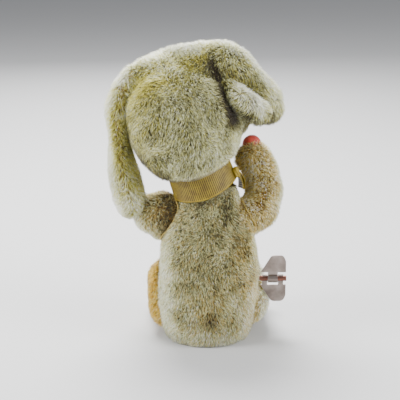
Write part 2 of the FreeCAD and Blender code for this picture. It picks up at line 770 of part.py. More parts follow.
def make_face():
    """Muzzle, nose, glass eyes and a felt tongue."""
    mouth = on_head(0, -50, -20.4, FreeCAD.Rotation(V(1, 0, 0), -24))
    tongue = primitive("Box", "tongue_slab", mouth.multiply(FreeCAD.Placement(V(-4, -7.4, -0.6), UPRIGHT)),
                       Length=8, Width=8, Height=1.2)
    piece("tongue", tongue)
    tongue_room = primitive("Box", "tongue_room", mouth.multiply(FreeCAD.Placement(V(-4.2, -7.6, -0.8),
                            UPRIGHT)), Length=8.4, Width=8.4, Height=1.6)
    piece("muzzle", cut("muzzle", muzzle_form("muzzle_full", 0), *skull("muzzle_room", 0.2), tongue_room,
                        nose_form("nose_room", 0.2)))
    piece("nose", nose_form("nose", 0))
    for label, side in (("eye_left", 1), ("eye_right", -1)):
        ball = primitive("Sphere", label + "_ball", on_head(side * 13, -33.2, 3.4), Radius="eye_radius")
        muzzle_room = muzzle_form(label + "_muzzle_room", 0.2)
        piece(label, cut(label, ball, *skull(label + "_room", 0.1), muzzle_room))


def make_ears():
    """Two long stuffed ears: the left one hangs, the right one is flopped forward and out."""
    left = ellipsoid("ear_left_full", at(51.2, -3, 113.5), 7.4, 13, 37)
    piece("ear_left", cut("ear_left", left, *skull("ear_left_room", size("soft_gap"))))
    root = V(-8, 22, 158)
    tip = V(-43, -16, 143)
    along = tip - root
    flat = FreeCAD.Rotation(along.cross(V(0, 0, 1)), V(0, 0, 1), along, "ZXY")
    place = FreeCAD.Placement((root + tip) * 0.5, flat)
    right = ellipsoid("ear_right_full", place, 7.5, 20, along.Length / 2 + 6)
    piece("ear_right", cut("ear_right", right, *skull("ear_right_room", size("soft_gap")),
                           muzzle_form("ear_right_muzzle_room", size("soft_gap"))))


def make_ribbon():
    """The neck ribbon, its knot on the puppy's right and the two short ends."""
    width = size("ribbon_width")
    outer = post("ribbon_outer", "ribbon_radius + ribbon_thickness", "ribbon_width",
                 *NECK.multVec(V(0, 0, -width / 2)), NECK.Rotation)
    inner = post("ribbon_inner", "ribbon_radius", 20, *NECK.multVec(V(0, 0, -10)), NECK.Rotation)
    piece("ribbon", cut("ribbon", outer, inner))
    around = FreeCAD.Rotation(V(0, 0, 1), size("knot_angle"))
    knot = ellipsoid("knot_ball", on_neck(0, 0, 0, around).multiply(FreeCAD.Placement(
        V(size("ribbon_radius") + 3.2, 0, 0), UPRIGHT)), 3.2, "knot_radius", "knot_radius + 1")
    room = post("knot_room", "ribbon_radius + ribbon_thickness + 0.02", 20, *NECK.multVec(V(0, 0, -10)),
                NECK.Rotation)
    piece("ribbon_knot", cut("ribbon_knot", knot, room))
    ends = []
    for index, (turn, foot) in enumerate(((18.0, -14), (-21.6, -16))):
        aim = FreeCAD.Rotation(V(0, 0, 1), size("knot_angle") + turn)
        tail = on_neck(0, 0, 0, aim).multiply(FreeCAD.Placement(
            V(size("ribbon_radius") + 1.2, -size("tail_width") / 2, foot), UPRIGHT))
        ends.append(primitive("Box", f"tail_{index}", tail, Length="ribbon_thickness", Width="tail_width",
                              Height="tail_length"))
    piece("ribbon_tails", group("ribbon_tails", *ends))


# ---------------------------------------------------------------- assembly and export

make_base()
make_shell("shell_left", 1)
make_shell("shell_right", -1)
make_cap()
make_arm_bushings()
make_jacket()
make_leg("leg_left", 1)
make_leg("leg_right", -1)
make_plate("frame_plate_left", 1)
make_plate("frame_plate_right", -1)
make_fasteners()
make_mainspring()
make_train()
make_click()
make_crank()
make_governor()
make_key()
make_key_eyelet()
make_arms()
make_ball()
make_rocker()
make_finger()
make_neck()
make_head()
make_face()
make_ears()
make_ribbon()
doc.recompute()

for made in doc.Objects:
    if "Invalid" in made.State or "Error" in made.State:
        raise RuntimeError(f"{made.Label} did not build: {made.State}")
for label, made in pieces.items():
    if made.Shape.isNull() or not made.Shape.isValid() or not made.Shape.Solids:
        raise RuntimeError(f"{label} has no valid solid")

os.makedirs("parts", exist_ok=True)
for label, made in pieces.items():
    made.Shape.exportStep(f"parts/{label}.step")
print(f"{len(pieces)} sub-parts written")
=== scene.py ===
import json
import math

import bpy
import numpy as np
from mathutils import Matrix, Vector
from mathutils.bvhtree import BVHTree
from mathutils.kdtree import KDTree


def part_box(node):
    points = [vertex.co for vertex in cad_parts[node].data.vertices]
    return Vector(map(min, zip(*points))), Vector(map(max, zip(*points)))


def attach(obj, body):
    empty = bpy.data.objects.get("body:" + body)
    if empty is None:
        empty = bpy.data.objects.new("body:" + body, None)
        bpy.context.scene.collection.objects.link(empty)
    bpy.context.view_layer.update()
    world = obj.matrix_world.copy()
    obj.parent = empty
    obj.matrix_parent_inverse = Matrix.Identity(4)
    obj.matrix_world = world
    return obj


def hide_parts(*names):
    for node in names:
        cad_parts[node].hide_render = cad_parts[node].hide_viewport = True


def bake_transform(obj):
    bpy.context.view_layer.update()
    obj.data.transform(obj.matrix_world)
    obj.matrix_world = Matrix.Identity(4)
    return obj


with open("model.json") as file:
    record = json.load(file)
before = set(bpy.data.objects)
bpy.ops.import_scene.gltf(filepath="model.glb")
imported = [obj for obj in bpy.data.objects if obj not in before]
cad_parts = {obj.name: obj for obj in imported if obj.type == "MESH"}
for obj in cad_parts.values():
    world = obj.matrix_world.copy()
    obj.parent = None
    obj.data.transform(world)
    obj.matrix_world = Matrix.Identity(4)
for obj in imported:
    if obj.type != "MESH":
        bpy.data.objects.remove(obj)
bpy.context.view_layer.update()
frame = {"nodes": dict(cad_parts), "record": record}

# A clockwork puppy seen from behind: plush coat, head, ears and limbs over the CAD movement,
# a grosgrain neck ribbon, a butterfly key and a small red ball.  The puppy faces -Y and its
# right side, with the key, is -X.  Lengths below are in millimetres until mesh() makes metres.

MM = 0.001

# ---------------------------------------------------------------- camera, light and floor

ELEVATION = math.radians(15)
TARGET = Vector((4.2, 0, 85.4)) * MM
DISTANCE = 0.9
TOWARDS_CAMERA = Vector((0, math.cos(ELEVATION), math.sin(ELEVATION)))
SCREEN_RIGHT = np.array([-1.0, 0.0, 0.0])
SCREEN_UP = np.array([0.0, -math.sin(ELEVATION), math.cos(ELEVATION)])
SCREEN_NEAR = np.array(TOWARDS_CAMERA)


def add_camera():
    data = bpy.data.cameras.new("camera")
    data.lens = 135
    data.sensor_width = 36
    camera = bpy.data.objects.new("camera", data)
    camera.location = TARGET + TOWARDS_CAMERA * DISTANCE
    camera.rotation_euler = (-TOWARDS_CAMERA).to_track_quat("-Z", "Y").to_euler()
    bpy.context.scene.collection.objects.link(camera)
    bpy.context.scene.camera = camera


def add_light(name, place, aim, size, power, colour=(1, 1, 1)):
    data = bpy.data.lights.new(name, "AREA")
    data.shape = "DISK"
    data.size = size
    data.energy = power
    data.color = colour
    light = bpy.data.objects.new(name, data)
    light.location = place
    light.rotation_euler = (Vector(aim) - Vector(place)).to_track_quat("-Z", "Y").to_euler()
    bpy.context.scene.collection.objects.link(light)


def add_world():
    world = bpy.data.worlds.new("studio")
    world.use_nodes = True
    world.node_tree.nodes["Background"].inputs["Color"].default_value = (0.86, 0.88, 0.92, 1)
    world.node_tree.nodes["Background"].inputs["Strength"].default_value = 0.42
    bpy.context.scene.world = world


# ---------------------------------------------------------------- materials

def linear(colour):
    """A display colour, from 0 to 1, as the linear RGBA that a shader takes."""
    return tuple(c / 12.92 if c <= 0.04045 else ((c + 0.055) / 1.055) ** 2.4 for c in colour) + (1.0,)


def principled(name, colour, roughness, **sockets):
    """A material whose sockets hold constants, and its shader node."""
    made = bpy.data.materials.new(name)
    made.use_nodes = True
    shader = made.node_tree.nodes["Principled BSDF"]
    shader.inputs["Base Color"].default_value = linear(colour)
    shader.inputs["Roughness"].default_value = roughness
    for socket, value in sockets.items():
        shader.inputs[socket.replace("_", " ")].default_value = value
    made.diffuse_color = linear(colour)
    return made, shader


def mottled(name, dark, light, scale, roughness, bump=0.0, bump_scale=None, stretch=(1, 1, 1), **sockets):
    """A material whose colour drifts between two shades, with a fine bump."""
    made, shader = principled(name, light, roughness, **sockets)
    nodes, links = made.node_tree.nodes, made.node_tree.links
    place = nodes.new("ShaderNodeTexCoord")
    spread = nodes.new("ShaderNodeMapping")
    spread.inputs["Scale"].default_value = stretch
    links.new(place.outputs["Object"], spread.inputs["Vector"])
    cloud = nodes.new("ShaderNodeTexNoise")
    cloud.inputs["Scale"].default_value = scale
    cloud.inputs["Detail"].default_value = 6
    links.new(spread.outputs["Vector"], cloud.inputs["Vector"])
    ramp = nodes.new("ShaderNodeValToRGB")
    ramp.color_ramp.elements[0].position = 0.35
    ramp.color_ramp.elements[0].color = linear(dark)
    ramp.color_ramp.elements[1].position = 0.68
    ramp.color_ramp.elements[1].color = linear(light)
    links.new(cloud.outputs["Fac"], ramp.inputs["Fac"])
    links.new(ramp.outputs["Color"], shader.inputs["Base Color"])
    if bump:
        grain = nodes.new("ShaderNodeTexNoise")
        grain.inputs["Scale"].default_value = bump_scale or scale * 8
        grain.inputs["Detail"].default_value = 4
        links.new(spread.outputs["Vector"], grain.inputs["Vector"])
        relief = nodes.new("ShaderNodeBump")
        relief.inputs["Strength"].default_value = bump
        relief.inputs["Distance"].default_value = 0.0004
        links.new(grain.outputs["Fac"], relief.inputs["Height"])
        links.new(relief.outputs["Normal"], shader.inputs["Normal"])
    return made


# Pile colours.  Each scale names a fibre for every step of tone, from 0, the darkest, to 5, the palest.
FIBRES = {
    "umber": (0.21, 0.17, 0.10), "olive": (0.45, 0.43, 0.26), "khaki": (0.66, 0.65, 0.46),
    "straw": (0.85, 0.85, 0.62), "cream": (0.94, 0.95, 0.80), "white": (1.0, 1.0, 0.96),
    "bronze": (0.50, 0.40, 0.19), "tan": (0.75, 0.64, 0.36), "gold": (0.88, 0.77, 0.42),
    "wheat": (0.94, 0.88, 0.60), "moss": (0.66, 0.61, 0.24), "primrose": (0.86, 0.83, 0.40),
    "orange": (0.76, 0.55, 0.10), "marigold": (0.90, 0.76, 0.28),
}
FIBRE_NAMES = list(FIBRES)
SCALES = {
    "cool": ("umber", "olive", "khaki", "straw", "cream", "white"),
    "warm": ("umber", "bronze", "tan", "gold", "wheat", "white"),
    "yellow": ("umber", "olive", "moss", "primrose", "primrose", "cream"),
    "fiery": ("umber", "bronze", "orange", "marigold", "marigold", "wheat"),
}


def make_fibres():
    return [principled("fibre_" + name, colour, 0.72, Sheen_Weight=0.2, Sheen_Roughness=0.4,
                       Specular_IOR_Level=0.3)[0] for name, colour in FIBRES.items()]


METALS = {
    "tin": ((0.50, 0.50, 0.49), (0.66, 0.66, 0.65), 0.42, 90),
    "steel": ((0.46, 0.46, 0.47), (0.66, 0.66, 0.66), 0.36, 160),
    "spring_steel": ((0.17, 0.19, 0.26), (0.30, 0.33, 0.42), 0.30, 160),
    "nickel": ((0.50, 0.45, 0.42), (0.70, 0.65, 0.62), 0.34, 120),
    "copper": ((0.42, 0.27, 0.23), (0.62, 0.44, 0.38), 0.36, 200),
    "brass": ((0.62, 0.47, 0.20), (0.80, 0.64, 0.32), 0.30, 140),
}


def make_slot_materials():
    """One procedural material for each material slot of the record that a CAD node shows."""
    made = {name: mottled("metal_" + name, dark, light, scale, roughness, bump=0.12, bump_scale=900,
                          Metallic=1.0) for name, (dark, light, roughness, scale) in METALS.items()}
    made["ball_red"] = mottled("ball_paint", (0.66, 0.20, 0.17), (0.86, 0.36, 0.30), 160, 0.5, bump=0.25,
                               bump_scale=700, Coat_Weight=0.1)
    made["wood"] = mottled("plug_wood", (0.52, 0.38, 0.22), (0.74, 0.58, 0.38), 60, 0.6, bump=0.3,
                           stretch=(1, 1, 0.15))
    return made


# ---------------------------------------------------------------- meshes

def mesh(name, points, faces, materials, slots=None):
    """A mesh object in metres from points in millimetres."""
    data = bpy.data.meshes.new(name)
    data.from_pydata((np.asarray(points, float) * MM).tolist(), [], faces)
    for item in materials:
        data.materials.append(item)
    if slots is not None:
        data.polygons.foreach_set("material_index", np.asarray(slots, np.int32))
    data.polygons.foreach_set("use_smooth", np.ones(len(data.polygons), bool))
    data.update()
    made = bpy.data.objects.new(name, data)
    bpy.context.scene.collection.objects.link(made)
    return made


def ball_points(rings=10, sides=16):
    """A unit sphere's points and faces."""
    points = [(0, 0, 1)]
    for ring in range(1, rings):
        polar = math.pi * ring / rings
        for side in range(sides):
            turn = 2 * math.pi * side / sides
            out, z = math.sin(polar), math.cos(polar)
            points.append((out * math.cos(turn), out * math.sin(turn), z))
    points.append((0, 0, -1))
    last = len(points) - 1
    faces = []
    for side in range(sides):
        after = (side + 1) % sides
        faces.append((0, 1 + side, 1 + after))
        faces.append((last, last - sides + after, last - sides + side))
        for ring in range(rings - 2):
            row = 1 + ring * sides
            faces.append((row + side, row + sides + side, row + sides + after, row + after))
    return np.array(points), faces


BALL_POINTS, BALL_FACES = ball_points()


def blob(centre, halves, axes=None):
    """An ellipsoid as a centre and a matrix whose columns are its half axes."""
    frame_axes = np.eye(3) if axes is None else np.asarray(axes, float)
    return np.asarray(centre, float), frame_axes * np.asarray(halves, float)


def chain(stations, steps=6, axes=None):
    """Blobs strung along stations of (centre, halves), close enough to merge."""
    made = []
    for (start, first), (end, last) in zip(stations, stations[1:]):
        for step in range(steps):
            share = step / steps
            centre = np.asarray(start, float) * (1 - share) + np.asarray(end, float) * share
            halves = np.ones(3) * np.asarray(first, float) * (1 - share) + np.asarray(last, float) * share
            made.append(blob(centre, halves, axes))
    made.append(blob(stations[-1][0], np.ones(3) * stations[-1][1], axes))
    return made


def waves(seed, size, count=10):
    """A smooth random field: returns a function of points, about -1 to 1, whose swells are size long."""
    draw = np.random.default_rng(seed)
    ways = draw.normal(size=(count, 3))
    lengths = np.linalg.norm(ways, axis=1)[:, None]
    ways *= (2 * math.pi / size) / lengths * draw.uniform(0.6, 1.5, count)[:, None]
    phases = draw.uniform(0, 2 * math.pi, count)
    return lambda points: np.sin(points @ ways.T + phases).sum(1) / math.sqrt(count)


def stuffed(name, blobs, material, voxel=1.5, smoothing=8, lumps=0.35, seed=1):
    """A stuffed form: blobs merged by a voxel remesh, smoothed, and made a little uneven."""
    points = []
    faces = []
    for centre, axes in blobs:
        first = len(points) * len(BALL_POINTS)
        points.append(BALL_POINTS @ axes.T + centre)
        flip = np.linalg.det(axes) < 0
        faces += [tuple(first + i for i in (face[::-1] if flip else face)) for face in BALL_FACES]
    made = mesh(name, np.concatenate(points), faces, [material])
    merge = made.modifiers.new("merge", "REMESH")
    merge.mode = "VOXEL"
    merge.voxel_size = voxel * MM
    merge.use_smooth_shade = True
    soften = made.modifiers.new("soften", "SMOOTH")
    soften.factor = 0.5
    soften.iterations = smoothing
    settled = bpy.data.meshes.new_from_object(made.evaluated_get(bpy.context.evaluated_depsgraph_get()))
    made.modifiers.clear()
    settled.name = name
    made.data = settled
    if not settled.materials:
        settled.materials.append(material)
    roughen(made, lumps, seed)
    return made


def read(made):
    """A mesh's points and normals, the points in millimetres."""
    count = len(made.data.vertices)
    points = np.empty(count * 3, np.float32)
    normals = np.empty(count * 3, np.float32)
    made.data.vertices.foreach_get("co", points)
    made.data.vertices.foreach_get("normal", normals)
    return points.reshape(-1, 3).astype(float) / MM, normals.reshape(-1, 3).astype(float)


def write(made, points):
    made.data.vertices.foreach_set("co", (points * MM).astype(np.float32).ravel())
    made.data.update()


def roughen(made, height, seed):
    """Uneven stuffing: broad swells and a few small ones along the normals."""
    points, normals = read(made)
    swell = waves(seed, 26)(points) * height + waves(seed + 1, 9)(points) * height * 0.35
    write(made, points + normals * swell[:, None])


# ---------------------------------------------------------------- pile

PILE_LIMIT = 19000  # strands in one piece, ten triangles each
DENSITY = 3.9  # strands on a square millimetre
WIDTH = 0.175  # half a strand's thickness at its root
PILE_LEAN = 0.85         # how far strands lie over along the comb
TONE_SPREAD = 0.95       # how much neighbouring fibres differ, in steps of tone
PRESSED = 0.6            # pile nearer the table than this is pressed flat on it
STRAND_FACES = np.array([0, 2, 1, 0, 1, 4, 3, 1, 2, 5, 4, 2, 0, 3, 5, 3, 4, 6, 4, 5, 6, 5, 3, 6])
STRAND_STARTS = np.array([0, 3, 7, 11, 15, 18, 21])
fibres = make_fibres()
swirl = [waves(100 + axis, 19) for axis in range(3)]


def unit(vectors):
    return vectors / np.maximum(np.linalg.norm(vectors, axis=-1, keepdims=True), 1e-9)


def scatter(made, draw, density):
    """Random roots on a mesh, evenly by area: points and normals."""
    points, normals = read(made)
    made.data.calc_loop_triangles()
    corners = np.empty(len(made.data.loop_triangles) * 3, np.int32)
    made.data.loop_triangles.foreach_get("vertices", corners)
    a, b, c = corners.reshape(-1, 3).T
    area = np.linalg.norm(np.cross(points[b] - points[a], points[c] - points[a]), axis=1) / 2
    count = int(area.sum() * density)
    pick = draw.choice(len(area), count, p=area / area.sum())
    u, v = draw.random((2, count, 1))
    u, v = np.where(u + v > 1, 1 - u, u), np.where(u + v > 1, 1 - v, v)
    weights = (1 - u - v, u, v)
    place = sum(w * points[i[pick]] for w, i in zip(weights, (a, b, c)))
    normal = unit(sum(w * normals[i[pick]] for w, i in zip(weights, (a, b, c))))
    return place, normal


def choose(draw, tone, warmth, scale):
    """A fibre for each strand: tone 0 to 5 along the cool scale, or by chance warmth along another."""
    step = np.clip(np.rint(tone + draw.normal(0, TONE_SPREAD, len(tone))), 0, 5).astype(int)
    rows = [np.array([FIBRE_NAMES.index(name) for name in SCALES[key]]) for key in ("cool", scale)]
    return np.where(draw.random(len(tone)) < warmth, rows[1][step], rows[0][step])


def nearest(of, among):
    """For each point of one set, the index of the nearest in the other."""
    tree = KDTree(len(among))
    for index, point in enumerate(among):
        tree.insert(point, index)
    tree.balance()
    return np.array([tree.find(point)[1] for point in of])


def grow(name, skin, colours, length=4.6, comb=(0, 0, -1), keep=None, seed=1, trim=None, scale="warm"):
    """Strands of pile on a skin, as thin closed spikes.  colours(points, normals) gives their tone and
    warmth; comb is the way the pile lies; keep drops roots; trim scales lengths."""
    draw = np.random.default_rng(seed)
    root, normal = scatter(skin, draw, DENSITY)
    if keep is not None:
        stay = keep(root, normal)
        root, normal = root[stay], normal[stay]
    count = len(root)
    way = np.asarray(comb, float) * np.ones((count, 1))
    way = way + 0.55 * np.stack([field(root) for field in swirl], axis=1) + draw.normal(0, 0.28, (count, 3))
    way -= (way * normal).sum(1)[:, None] * normal
    way = unit(way)
    long = length * draw.uniform(0.75, 1.15, count) * (1 if trim is None else trim(root, normal))
    first = unit(normal + way * PILE_LEAN * 0.6 + draw.normal(0, 0.13, (count, 3)))
    second = unit(normal * 0.7 + way * PILE_LEAN * 1.3 + draw.normal(0, 0.2, (count, 3)))
    middle = root + first * (long * 0.48)[:, None]
    tip = middle + second * (long * 0.52)[:, None]
    guides = draw.choice(count, max(count // 9, 1), replace=False)
    guide = guides[nearest(root, root[guides])]
    tip += (tip[guide] - tip) * draw.uniform(0.05, 0.32, (count, 1))
    side = unit(np.cross(first, draw.normal(size=(count, 3))))
    other = np.cross(first, side)
    around = [2 * math.pi * k / 3 for k in range(3)]
    spokes = [side * math.cos(turn) + other * math.sin(turn) for turn in around]
    thick = (WIDTH * draw.uniform(0.8, 1.25, count))[:, None]
    base = root - normal * 0.4
    points = np.stack([base + spoke * thick for spoke in spokes]
                      + [middle + spoke * thick * 0.8 for spoke in spokes] + [tip], axis=1)
    height = points[:, :, 2]
    pressed = PRESSED * np.exp(np.minimum(height / PRESSED - 1, 0))
    points[:, :, 2] = np.where(height < PRESSED, pressed, height)
    tone, warmth = (part * np.ones(count) for part in colours(root, normal))
    root_slot = choose(draw, tone - 1.0, warmth * 1.1, scale)
    tip_slot = choose(draw, tone + 0.3, warmth, scale)
    order = np.argsort(root[:, 1] if np.ptp(root[:, 1]) > np.ptp(root[:, 0]) else root[:, 0], kind="stable")
    made = []
    parts = max(1, math.ceil(count / PILE_LIMIT))
    for part, rows in enumerate(np.array_split(order, parts)):
        label = name if parts == 1 else f"{name}_{part + 1}"
        data = bpy.data.meshes.new(label)
        few = len(rows)
        shift = np.arange(few)[:, None]
        data.vertices.add(few * 7)
        data.vertices.foreach_set("co", (points[rows] * MM).astype(np.float32).ravel())
        data.loops.add(few * 24)
        data.loops.foreach_set("vertex_index", (STRAND_FACES + shift * 7).astype(np.int32).ravel())
        data.polygons.add(few * 7)
        data.polygons.foreach_set("loop_start", (STRAND_STARTS + shift * 24).astype(np.int32).ravel())
        slots = np.repeat(np.stack([root_slot[rows], tip_slot[rows]], axis=1), (4, 3), axis=1)
        for item in fibres:
            data.materials.append(item)
        data.polygons.foreach_set("material_index", slots.astype(np.int32).ravel())
        data.polygons.foreach_set("use_smooth", np.ones(few * 7, bool))
        data.update(calc_edges=True)
        made.append(bpy.data.objects.new(label, data))
        bpy.context.scene.collection.objects.link(made[-1])
    return made


def bell(value, centre, spread):
    return np.exp(-((value - centre) / spread) ** 2)


def ramp(value, low, high):
    share = np.clip((value - low) / (high - low), 0, 1)
    return share * share * (3 - 2 * share)


def on_back(points):
    """How far across and up the back each point lies, as the camera sees it."""
    return points @ SCREEN_RIGHT, points @ SCREEN_UP


def spot(points, right, up, wide, tall):
    """1 at a place on the back, falling to 0 about two widths away."""
    across, height = on_back(points)
    return bell(across, right, wide) * bell(height, up, tall)


def stroke(points, places, wide):
    """1 along a line of (right, up) places, falling to 0 about two widths away."""
    flat = np.stack(on_back(points), axis=1)
    gap = np.full(len(flat), np.inf)
    for start, end in zip(np.array(places[:-1], float), np.array(places[1:], float)):
        along = end - start
        share = np.clip((flat - start) @ along / (along @ along), 0, 1)
        gap = np.minimum(gap, np.linalg.norm(flat - start - share[:, None] * along, axis=1))
    return bell(gap, 0, wide)


def facing(normals, *way):
    return normals @ unit(on_screen(*way))


patch = waves(7, 34)
fleck = waves(8, 12)

# ---------------------------------------------------------------- frames of the neck and head

LEAN = Matrix.Rotation(math.radians(20), 4, "Y")
NECK = Matrix.Translation((2.9, 0, 99.4)) @ LEAN
HEAD = Matrix.Translation((14, 5, 134)) @ LEAN @ Matrix.Rotation(math.radians(-42), 4, "Z")
HEAD_TURN = np.array(HEAD.to_3x3())
NECK_TURN = np.array(NECK.to_3x3())
RIBBON_RADIUS = 18.8
RIBBON_WIDTH = 16.0
RIBBON_THICK = 0.5
KNOT_ANGLE = math.radians(165)
TAIL_WIDTH = 11.0
TAILS = ((16.0, 12), (36.0, 14))


def on_head(x, y, z):
    return np.array(HEAD @ Vector((x, y, z)))


def from_head(local):
    """Many points at once, from the head's own frame."""
    return local @ HEAD_TURN.T + np.array(HEAD.translation)


def from_neck(local):
    return local @ NECK_TURN.T + np.array(NECK.translation)


def on_neck(angle, radius, height):
    return np.array(NECK @ Vector((radius * math.cos(angle), radius * math.sin(angle), height)))


def in_neck(points):
    """Points in the neck's own frame, as (radius from its axis, height)."""
    local = (points - np.array(NECK.translation)) @ NECK_TURN
    return np.linalg.norm(local[:, :2], axis=1), local[:, 2]


def on_screen(right, up, near):
    """A point from its place across, up and towards the camera, in millimetres."""
    return right * SCREEN_RIGHT + up * SCREEN_UP + near * SCREEN_NEAR


def near_ribbon(points, normals):
    """Pile is short where the ribbon presses on it."""
    radius, height = in_neck(points)
    gap = np.hypot(np.maximum(np.abs(height) - RIBBON_WIDTH / 2, 0),
                   np.maximum(radius - RIBBON_RADIUS - 2, 0))
    return 0.3 + 0.7 * ramp(gap, 1.2, 7)


# ---------------------------------------------------------------- shoulder seams

SEAM_LIFT = 1.9          # the thread's height above the skins
SEAM_RADIUS = 0.34
SEAM_LEFT = [(-19.2, 82.5), (-16.8, 77.1), (-18.4, 72.9), (-22.6, 66.9), (-26.6, 62.7), (-28.2, 58.2)]
SEAM_RIGHT = [(18.4, 90.0), (19.8, 82.5), (22.8, 77.1), (26.1, 72.3), (29.0, 67.5)]


def seam_trim(points):
    """Pile is parted along the seams."""
    near = np.maximum(stroke(points, SEAM_LEFT, 2.0), stroke(points, SEAM_RIGHT, 1.8)) * (points[:, 1] > -6)
    return 1 - 0.6 * near


def make_seam(name, places, skins, material):
    """A sewn line over the skins: a twisted thread laid in the parted pile, as the back shows it."""
    trees = [BVHTree.FromObject(skin, bpy.context.evaluated_depsgraph_get()) for skin in skins]
    route = []
    for start, end in zip(np.array(places[:-1]), np.array(places[1:])):
        for step in range(8):
            right, up = start + (end - start) * step / 8
            origin = Vector(on_screen(right, up, 200) * MM)
            hits = [tree.ray_cast(origin, -TOWARDS_CAMERA) for tree in trees]
            hits = [hit for hit in hits if hit[0] is not None]
            if hits:
                place, normal = min(hits, key=lambda hit: (hit[0] - origin).length)[:2]
                route.append(np.array(place) / MM + np.array(normal) * SEAM_LIFT)
    depth = np.array([place @ SCREEN_NEAR for place in route])
    for _ in range(6):
        route[1:-1] = [(a + 2 * b + c) / 4 for a, b, c in zip(route, route[1:], route[2:])]
    route = [place + SCREEN_NEAR * max(want - place @ SCREEN_NEAR, 0) for place, want in zip(route, depth)]
    return thread(name, route, SEAM_RADIUS, material, twisted=True)


def thread(name, route, radius, material, twisted=False, sides=8):
    """A round thread along a route, with the twist of its plies where it is twisted."""
    route = np.array(route)
    along = unit(np.gradient(route, axis=0))
    side = unit(np.cross(along, (0.3, 0.2, 1)))
    other = np.cross(along, side)
    travel = np.concatenate([[0], np.cumsum(np.linalg.norm(np.diff(route, axis=0), axis=1))])
    points = []
    for place, one, two, gone in zip(route, side, other, travel):
        for k in range(sides):
            turn = 2 * math.pi * k / sides
            r = radius * (1 + 0.22 * math.cos(2 * turn + gone * 2.4) * twisted)
            points.append(place + (one * math.cos(turn) + two * math.sin(turn)) * r)
    faces = [(row * sides + k, row * sides + (k + 1) % sides, (row + 1) * sides + (k + 1) % sides,
              (row + 1) * sides + k) for row in range(len(route) - 1) for k in range(sides)]
    last = (len(route) - 1) * sides
    faces += [tuple(range(sides))[::-1], tuple(last + k for k in range(sides))]
    return mesh(name, points, faces, [material])


# ---------------------------------------------------------------- coat

COAT_PROFILE = np.array([
    (1.2, 21.6), (4, 23.2), (9, 24.9), (15, 26.0), (24, 26.9), (36, 27.0), (47, 26.8), (56, 26.0),
    (63, 24.4), (70, 22.0), (77, 19.6), (83, 17.6), (88, 16.9), (94, 16.0),
])


def coat_radius(height):
    return np.interp(height, COAT_PROFILE[:, 0], COAT_PROFILE[:, 1])


def make_coat(material):
    """The coat's skin: a fitted sleeve with its seat rounded in, a little fuller on the key side."""
    sides, rows = 96, 64
    low, high = COAT_PROFILE[0, 0], COAT_PROFILE[-1, 0]
    points = []
    for row in range(rows + 1):
        z = low + (high - low) * row / rows
        for side in range(sides):
            turn = 2 * math.pi * side / sides
            x, y = math.cos(turn), math.sin(turn)
            r = float(coat_radius(z))
            full = float(bell(z, 46, 22))
            r += full * (0.9 * max(y, 0) + 0.9 * max(-x, 0) - 1.2 * max(-y, 0))
            r += 0.45 * math.cos(5 * turn + 0.6) * float(bell(z, 10, 8))
            points.append((r * x - 0.7 * full, r * y, z))
    faces = []
    for row in range(rows):
        for side in range(sides):
            after = (side + 1) % sides
            a, b = row * sides, (row + 1) * sides
            faces.append((a + side, a + after, b + after, b + side))
    faces.append(tuple(range(sides))[::-1])
    faces.append(tuple(rows * sides + side for side in range(sides)))
    made = mesh("coat", points, faces, [material])
    roughen(made, 0.45, 11)
    return made


def coat_colours(points, normals):
    across, height = on_back(points)
    back = ramp(facing(normals, 0, 0, 1), -0.1, 0.5)
    brown = 1.1 * spot(points, 19, 53, 6, 9) + 0.9 * spot(points, 1, 14, 8, 9) \
        + 0.5 * spot(points, 6, 27, 7, 6)
    # Painted highlight: paler towards the back's left edge, and towards its right edge low down, where the
    # side lights fall; the right edge is also made warmer.
    left_side_light = ramp(-across, 14, 26) * ramp(62 - height, 0, 14)
    right = ramp(across, 13, 26) * ramp(38 - height, 0, 10)
    # The stroke below the left shoulder is painted shade in the join of arm and coat.
    tone = 2.45 - 0.85 * bell(height, 74, 11) - brown * back + 1.45 * left_side_light + 1.3 * right \
        + 0.8 * bell(height, 38, 4) * ramp(-across, -4, 18) + 0.9 * ramp(12 - height, 0, 9) \
        + 0.4 * fleck(points) + 0.35 * patch(points) \
        - 2.4 * stroke(points, [(-24, 84), (-23, 74)], 5) * back
    # Painted rim highlight: paler where the coat's surface faces left or right.
    tone = np.minimum(tone + 0.5 * ramp(np.abs(facing(normals, 1, 0, 0)), 0.75, 1.0), 3.7) - 0.1
    warmth = 0.22 + 0.4 * brown * back + 0.35 * right + 0.3 * bell(height, 36, 6) * ramp(across, 8, 18) \
        - 0.15 * left_side_light
    front = ramp(-points[:, 1], 6, 14)
    return tone + 0.7 * front, warmth + 0.5 * front


def coat_keep(points, normals):
    radius, height = in_neck(points)
    under_ribbon = (np.abs(height) < RIBBON_WIDTH / 2 + 0.2) & (radius < RIBBON_RADIUS + 2)
    low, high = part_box("key_shaft")
    key_height = (low[2] + high[2]) / 2 / MM
    key_hole = (np.hypot(points[:, 1], points[:, 2] - key_height) < 3.4) & (points[:, 0] < -15)
    lid = (normals[:, 2] > 0.8) | (normals[:, 2] < -0.8)
    return ~(under_ribbon | key_hole | lid | (height > RIBBON_WIDTH / 2))


def coat_trim(points, normals):
    return near_ribbon(points, normals) * seam_trim(points)


# ---------------------------------------------------------------- head and ears

# Places along the crease between the head and the right ear, where the pile is darkened as painted shade.
EAR_CREASE_SHADE = [(4, 168), (5, 158), (6, 149), (9, 138), (13, 129)]


def make_head(material):
    blobs = [
        blob(on_head(0, 0, 0), (30.8, 31.6, 37.0), HEAD_TURN),
        blob(on_head(0, -26, 18), (19, 17, 16.5), HEAD_TURN),
        blob(on_head(0, -22, -13), (14, 18, 13), HEAD_TURN),
    ]
    blobs += chain([(on_screen(-31, 151, 42), 14.5), (on_screen(-20, 154.5, 42), 15.5),
                    (on_screen(-2, 158.5, 42), 15), (on_screen(8, 161, 42), 13)])
    blobs += chain([(on_neck(0, 0, 4), 15.5), (on_neck(0, 1, 14), 18)], axes=NECK_TURN)
    return stuffed("head", blobs, material, voxel=1.7, smoothing=10, seed=21)


